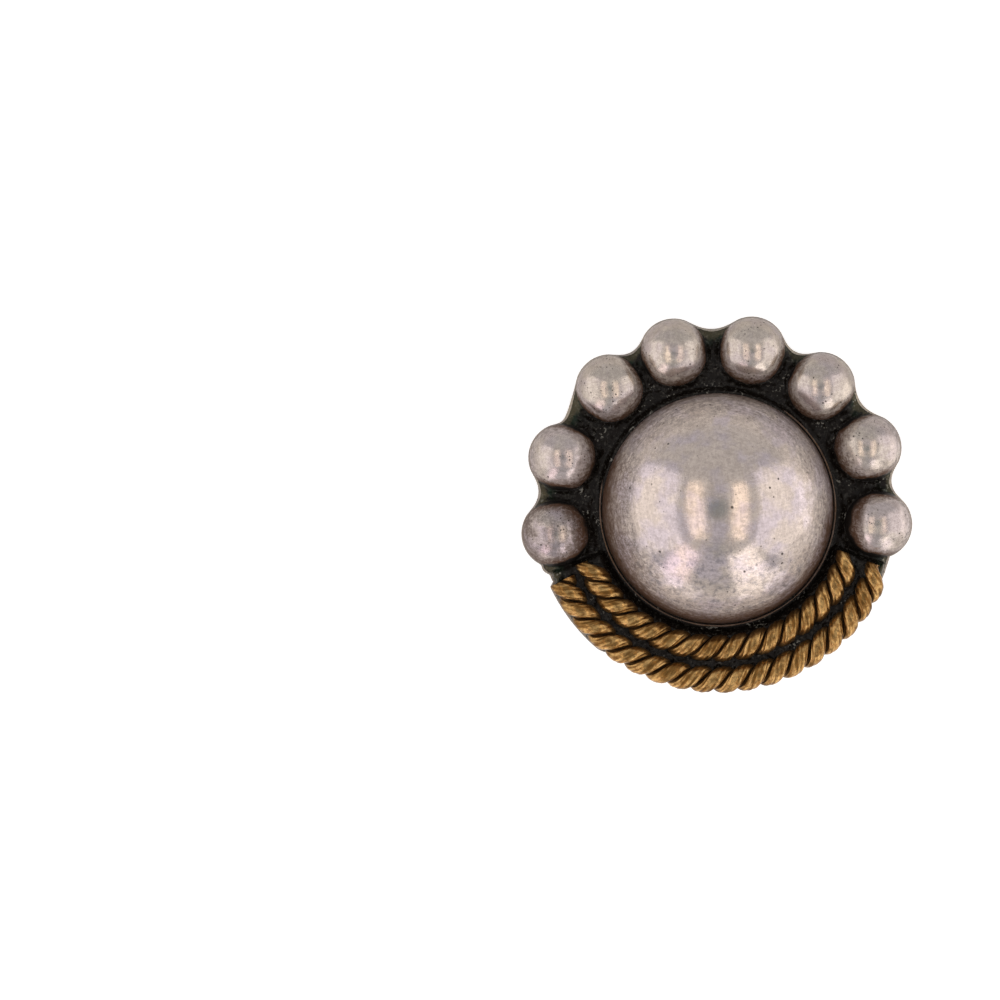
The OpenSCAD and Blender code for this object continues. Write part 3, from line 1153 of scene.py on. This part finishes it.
def silver_finish(name, warm, lilac, gloss, relief, mottling, pit_share, patchy, matt_below,
                  film_below, film_edge, crust_below=-0.3, pit_spacing=0.30, turned_share=0.0,
                  low_side_shade=0.0, marks_on=None):
    finish, tree, shader = new_finish(name)
    place = millimetres(tree)
    wear = use_group(tree, tarnish_and_shade_group, Place=place, Patchy=patchy, Matt_Below=matt_below,
                     Film_Below=film_below, Film_Edge=film_edge, Crust_Below=crust_below)
    lines = use_group(tree, polishing_lines, Place=place, Line_Width=FINE_LINE)["Height"]
    specks = use_group(tree, pits_group, Place=place, Spacing=pit_spacing, Share=pit_share)["Mask"]
    if marks_on:
        specks = calc(tree, "MAXIMUM", specks, marks_on(tree, place))
    patches = fade(tree, cloud(tree, place, 2.2), 0.40, 0.62)
    mottle = fade(tree, cloud(tree, place, 0.38, 6.0, 0.8), 0.38, 0.62)
    fine = fade(tree, cloud(tree, place, 0.10, 3.0, 0.7), 0.38, 0.62)
    broad_lines = use_group(tree, polishing_lines, Place=place, Line_Width=BROAD_LINE)["Height"]
    streaky = fade(tree, broad_lines, 0.42, 0.58)
    if turned_share:
        turned = use_group(tree, turned_lines, Place=place, Line_Width=TURNED_LINE)["Height"]
        turned = times(tree, fade(tree, turned, 0.40, 0.60), turned_share)
        streaky = calc(tree, "MAXIMUM", streaky, times(tree, turned, wear["Unrubbed"]))
    fine_part = times(tree, fine, FINE_SHARE)
    streaks_part = calc(tree, "MULTIPLY_ADD", streaky, STREAK_SHARE, fine_part)
    grain = calc(tree, "MULTIPLY_ADD", mottle, MOTTLE_SHARE, streaks_part)
    metal = tint_between(tree, patches, warm, lilac)
    # The mottle is painted darker where the cloth can't reach: partly painted shade.
    strength = calc(tree, "MULTIPLY_ADD", wear["Unrubbed"], ETCHED_SHADE * mottling, mottling)
    dull = tint_between(tree, times(tree, grain, strength), metal, SHADE)
    # Bluish-grey blots darken the dome's lower side: painted shade.
    if low_side_shade:
        lower_side = times(tree, put(tree, "SeparateXYZ", Vector=place).outputs["Y"], -1.0)
        shade_blots = fade(tree, cloud(tree, place, 0.50, 5.0, 0.75), 0.48, 0.64)
        low_side_shaded = times(tree, shade_blots, fade(tree, lower_side, *LOW_SIDE_SHADE_FADE))
        dull = tint_between(tree, times(tree, low_side_shaded, low_side_shade), dull, LOW_SIDE_SHADE)
    # The brown film and the black crust are partly tarnish and partly painted shade.
    broken = calc(tree, "MULTIPLY_ADD", grain, FILM_GRAIN, FILM_LEAST)
    film = calc(tree, "MINIMUM", times(tree, wear["Film"], broken), 1.0)
    filmed = tint_between(tree, film, dull, BROWN_FILM)
    pitted = tint_between(tree, times(tree, specks, PIT_TINT), filmed, PIT)
    feed(tree, shader.inputs["Base Color"], tint_between(tree, wear["Crust"], pitted, CRUST))
    covered = calc(tree, "MAXIMUM", times(tree, wear["Unrubbed"], ETCHED_MATT), wear["Crust"])
    feed(tree, shader.inputs["Metallic"],
         minus(tree, BARE_METALLIC, times(tree, covered, MATT_METALLIC_LOSS)))
    uneven = plus(tree, gloss, times(tree, grain, GRAIN_ROUGH))
    feed(tree, shader.inputs["Roughness"],
         plus(tree, uneven, times(tree, wear["Unrubbed"], ETCHED_ROUGH)))
    raised = plus(tree, lines, times(tree, mottle, MOTTLE_RELIEF))
    height = minus(tree, raised, times(tree, specks, PIT_DEPTH))
    bump = put(tree, "Bump", Height=height, Distance=relief * MM, Strength=0.7)
    feed(tree, shader.inputs["Normal"], bump.outputs["Normal"])
    return finish


# %% [markdown]
# The dome carries a few marks of its own: one deep pit low on the right, and two scratches. Each is
# a mask of the distance from a point or a line on the dome, seen from the front. Places are in mm
# from the dome's axis, and a scratch is given by its two ends.

# %% Marks on the dome
DEEP_PIT = (1.81, -4.49)
DEEP_PIT_R = 0.085
SCRATCHES = ((4.15, -5.60, 5.25, -5.45), (-6.90, -2.65, -5.60, -2.58))
SCRATCH_WIDTH = 0.035
SCRATCH_DEPTH = 0.6


def dome_marks(tree, place):
    flat = flattened(tree, place)
    moved = put(tree, "Mapping", Vector=flat, Location=(-DEEP_PIT[0], -DEEP_PIT[1], 0)).outputs["Vector"]
    found = minus(tree, 1.0, fade(tree, length_of(tree, moved), 0.6 * DEEP_PIT_R, 1.4 * DEEP_PIT_R))
    for x0, y0, x1, y1 in SCRATCHES:
        half = math.hypot(x1 - x0, y1 - y0) / 2
        middle = put(tree, "Mapping", Vector=flat, Location=(-(x0 + x1) / 2, -(y0 + y1) / 2, 0))
        along = put(tree, "Mapping", Vector=middle.outputs["Vector"],
                    Rotation=(0, 0, -math.atan2(y1 - y0, x1 - x0)),
                    Scale=(SCRATCH_WIDTH / half, 1, 1)).outputs["Vector"]
        off = fade(tree, length_of(tree, along), 0.4 * SCRATCH_WIDTH, 1.3 * SCRATCH_WIDTH)
        scratch = times(tree, minus(tree, 1.0, off), SCRATCH_DEPTH)
        found = calc(tree, "MAXIMUM", found, scratch)
    return found


# %% The silvers
dome_silver = silver_finish("dome_silver", tone(225, 211, 199), tone(216, 204, 207), gloss=0.125,
                            relief=0.006, mottling=0.50, pit_share=0.20, patchy=0.25, matt_below=0.765,
                            film_below=0.32, film_edge=0.38, turned_share=0.9,
                            low_side_shade=0.55, marks_on=dome_marks)
bead_silver = silver_finish("bead_silver", tone(214, 203, 190), tone(206, 194, 191), gloss=0.16,
                            relief=0.014, mottling=0.50, pit_share=0.90, patchy=0.32, matt_below=0.55,
                            film_below=0.35, film_edge=0.24, crust_below=0.03, pit_spacing=0.22)
dull_bead_silver = silver_finish("dull_bead_silver", tone(208, 196, 186), tone(190, 177, 180),
                                 gloss=0.15, relief=0.020, mottling=0.85, pit_share=0.95,
                                 patchy=0.60, matt_below=0.50, film_below=0.38, film_edge=0.26,
                                 crust_below=0.03, pit_spacing=0.20)
ring_silver = silver_finish("ring_silver", tone(104, 78, 50), tone(84, 62, 40), gloss=0.35,
                            relief=0.014, mottling=0.60, pit_share=0.30, patchy=0.50, matt_below=0.50,
                            film_below=0.40, film_edge=0.20, crust_below=0.12)
plate_silver = silver_finish("plate_silver", tone(176, 169, 156), tone(158, 153, 146), gloss=0.28,
                             relief=0.018, mottling=0.60, pit_share=0.30, patchy=0.30, matt_below=0.40,
                             film_below=0.48, film_edge=0.20, crust_below=0.10)
clip_silver = silver_finish("clip_silver", tone(214, 206, 198), tone(206, 199, 196), gloss=0.22,
                            relief=0.010, mottling=0.34, pit_share=0.12, patchy=0.30, matt_below=0.30,
                            film_below=0.30, film_edge=0.20, crust_below=0.05)

# %% [markdown]
# ## Black solder
#
# The flooded solder is nearly all crust. Here and there light specks are painted into its colour
# as glints, a painted highlight. Where a web lies open, near the plate's edge, the metal shows
# through in grey, and the shaded webs between the beads are green. Three pairs give the mm between
# which these fade in: two count from the dome's axis, and BY_BEADS counts upwards.

# %% Solder finish
GREEN = tone(24, 44, 30)
# A light colour painted in specks as glints: a painted highlight.
PAINTED_GLINT = tone(168, 166, 156)
WEB_METAL = tone(128, 124, 112)
WEB_FILM = tone(72, 68, 54)
WEB_METALLIC = 0.8
PAINTED_GLINTS_STRAY = 0.06
PAINTED_GLINTS_GATHERED = 0.45
CRUST_BELOW = 0.78
CRUST_LESS_WHERE_THIN = -0.32
WEBS_FROM_AXIS = (11.3, 12.6)
THIN_FROM_AXIS = (11.9, 12.8)
BY_BEADS = (-6.0, -3.0)


def solder_finish():
    finish, tree, shader = new_finish("black_solder")
    place = millimetres(tree)
    flat = flattened(tree, place)
    radius = length_of(tree, flat)
    outside = fade(tree, radius, *WEBS_FROM_AXIS)
    thin = fade(tree, radius, *THIN_FROM_AXIS)
    crust_below = calc(tree, "MULTIPLY_ADD", thin, CRUST_LESS_WHERE_THIN, CRUST_BELOW)
    wear = use_group(tree, tarnish_and_shade_group, Place=place, Patchy=0.5, Film_Below=1.0, Film_Edge=0.2,
                     Crust_Below=crust_below)
    by_beads = fade(tree, put(tree, "SeparateXYZ", Vector=place).outputs["Y"], *BY_BEADS)
    green_spots = fade(tree, cloud(tree, place, 0.8, 4.0), 0.40, 0.60)
    green = times(tree, times(tree, outside, green_spots), by_beads)
    crust = tint_between(tree, green, CRUST, GREEN)
    metal = tint_between(tree, wear["Film"], WEB_METAL, WEB_FILM)
    open_metal = times(tree, minus(tree, 1.0, wear["Crust"]), outside)
    # Painted glints: light specks in the colour, gathered in a few patches.
    painted_glints = fade(tree, cloud(tree, place, 0.20, 2.0, 0.5), 0.56, 0.64)
    gathered = fade(tree, cloud(tree, place, 1.3, 2.0), 0.56, 0.66)
    share = calc(tree, "MULTIPLY_ADD", gathered, PAINTED_GLINTS_GATHERED, PAINTED_GLINTS_STRAY)
    painted_glints = times(tree, painted_glints, share)
    plain = tint_between(tree, open_metal, crust, metal)
    feed(tree, shader.inputs["Base Color"], tint_between(tree, painted_glints, plain, PAINTED_GLINT))
    feed(tree, shader.inputs["Metallic"], times(tree, open_metal, WEB_METALLIC))
    shader.inputs["Specular IOR Level"].default_value = 0.16
    gloss = fade(tree, cloud(tree, place, 0.5, 3.0), 0.35, 0.60)
    feed(tree, shader.inputs["Roughness"], plus(tree, 0.12, times(tree, gloss, 0.40)))
    relief = put(tree, "Bump", Height=cloud(tree, place, 0.30, 3.0, 0.5), Distance=0.08 * MM,
                 Strength=0.5)
    feed(tree, shader.inputs["Normal"], relief.outputs["Normal"])
    return finish


black_solder = solder_finish()

# %% [markdown]
# ## Aged brass
#
# The brass is olive gold. Its crests are rubbed bright in streaks along the wire. Its flanks are
# brown and its grooves black, partly tarnish and partly painted shade, and the valleys between its
# ridges are painted darker as shade. The streaks use the place on the straight rod, so they follow
# the twist.

# %% Brass finish
OLIVE = tone(122, 88, 44)
GOLD = tone(206, 166, 106)
BLOTCH = tone(116, 78, 36)
BRASS_FILM = tone(88, 62, 34)
STREAK_SCALE = (1.3, 3.6, 3.6)
# How much darker the valleys between the ridges are painted: painted shade.
VALLEY_SHADE = 0.20
BRASS_METALLIC = 0.95
FILM_METALLIC_LOSS = 0.30
CRUST_METALLIC_LOSS = 0.6
BRASS_ROUGH = 0.25
FILM_ROUGH = 0.16


def brass_finish():
    finish, tree, shader = new_finish("aged_brass")
    place = millimetres(tree)
    rod = put(tree, "Attribute", attribute_name="rod_place").outputs["Vector"]
    valley = put(tree, "Attribute", attribute_name="valley").outputs["Fac"]
    stretched = put(tree, "Mapping", Vector=rod, Scale=STREAK_SCALE).outputs["Vector"]
    streaks = put(tree, "TexNoise", Vector=stretched, Scale=1.0, Detail=3.0, Roughness=0.6).outputs["Fac"]
    wear = use_group(tree, tarnish_and_shade_group, Place=place, Patchy=0.22, Film_Below=0.50, Film_Edge=0.26,
                     Crust_Below=0.18)
    # The valleys between the ridges are darkened here: painted shade.
    rubbed = fade(tree, minus(tree, streaks, times(tree, valley, VALLEY_SHADE)), 0.29, 0.62)
    gold = tint_between(tree, rubbed, OLIVE, GOLD)
    blotches = fade(tree, cloud(tree, place, 0.30, 4.0, 0.7), 0.46, 0.62)
    toned = tint_between(tree, times(tree, blotches, 0.65), gold, BLOTCH)
    filmed = tint_between(tree, wear["Film"], toned, BRASS_FILM)
    feed(tree, shader.inputs["Base Color"], tint_between(tree, wear["Crust"], filmed, CRUST))
    bare = minus(tree, BRASS_METALLIC, times(tree, wear["Film"], FILM_METALLIC_LOSS))
    metallic = minus(tree, bare, times(tree, wear["Crust"], CRUST_METALLIC_LOSS))
    feed(tree, shader.inputs["Metallic"], metallic)
    rough = plus(tree, BRASS_ROUGH, times(tree, wear["Film"], FILM_ROUGH))
    feed(tree, shader.inputs["Roughness"], rough)
    relief = put(tree, "Bump", Height=streaks, Distance=0.06 * MM, Strength=0.7)
    feed(tree, shader.inputs["Normal"], relief.outputs["Normal"])
    return finish


aged_brass = brass_finish()

# %% [markdown]
# ## Floor
#
# A white sheet that glows a little, a painted light, so that shadows on it stay soft. The real
# sheet ended just beside the earring, so in reflections the floor is painted greyer than it looks.
# In reflections it is painted brightest in front of the softboxes, as pools of light: three wedges,
# each with its direction and half its width in degrees.

# %% Floor finish
POOLS = ((241, 15), (300, 17), (0, 21))
POOL_EDGE = 6
SHEET = (tone(242, 242, 242), tone(246, 246, 246))
SHEET_MIRRORED = tone(196, 194, 192)
# The sheet's glow, seen directly and in reflections: painted light.
GLOW = tone(215, 215, 215)
GLOW_MIRRORED = tone(125, 123, 121)
POOL_GLOW = tone(255, 250, 246)
GLOW_STRENGTH = 0.8


def light_pools(tree, place):
    flat = flattened(tree, place)
    radius = length_of(tree, flat)
    found = 0.0
    for degrees, half in POOLS:
        turned = put(tree, "Mapping", Vector=flat, Rotation=(0, 0, -math.radians(degrees)))
        ahead = put(tree, "SeparateXYZ", Vector=turned.outputs["Vector"]).outputs["X"]
        wedge = fade(tree, calc(tree, "DIVIDE", ahead, radius), math.cos(math.radians(half + POOL_EDGE)),
                     math.cos(math.radians(half - POOL_EDGE)))
        found = calc(tree, "MAXIMUM", found, wedge)
    return found


def floor_finish():
    finish, tree, shader = new_finish("white_sheet")
    mirrored = put(tree, "LightPath").outputs["Is Glossy Ray"]
    place = millimetres(tree)
    sheet = tint_between(tree, cloud(tree, place, 0.8), *SHEET)
    feed(tree, shader.inputs["Base Color"], tint_between(tree, mirrored, sheet, SHEET_MIRRORED))
    # Painted pools of light, seen only in reflections.
    pools = tint_between(tree, light_pools(tree, place), GLOW_MIRRORED, POOL_GLOW)
    feed(tree, shader.inputs["Emission Color"], tint_between(tree, mirrored, GLOW, pools))
    shader.inputs["Emission Strength"].default_value = GLOW_STRENGTH
    shader.inputs["Roughness"].default_value = 0.28
    shader.inputs["Specular IOR Level"].default_value = 0.5
    return finish


floor.data.materials.append(floor_finish())

# %% [markdown]
# ## Put it together
#
# Every piece takes its finish, hides the frame node that it stands for and rides on the one body.
# The whole silver front is one solid in the frame, because it is soldered, so all its pieces stand
# for that node together.

# %% Dress the pieces


def dress(piece, finish, node):
    piece.data.materials.clear()
    piece.data.materials.append(finish)
    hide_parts(node)
    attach(piece, "root")


front = [(back_plate, plate_silver), (dome, dome_silver), (dome_ring, ring_silver),
         (solder_bed, black_solder), (first_bead, dull_bead_silver)]
for piece, finish in front + [(bead, bead_silver) for bead in beads[1:]]:
    dress(piece, finish, "silver_body")
for node, wire in rope_wires.items():
    dress(wire, aged_brass, node)
dress(clip, clip_silver, "ear_clip")
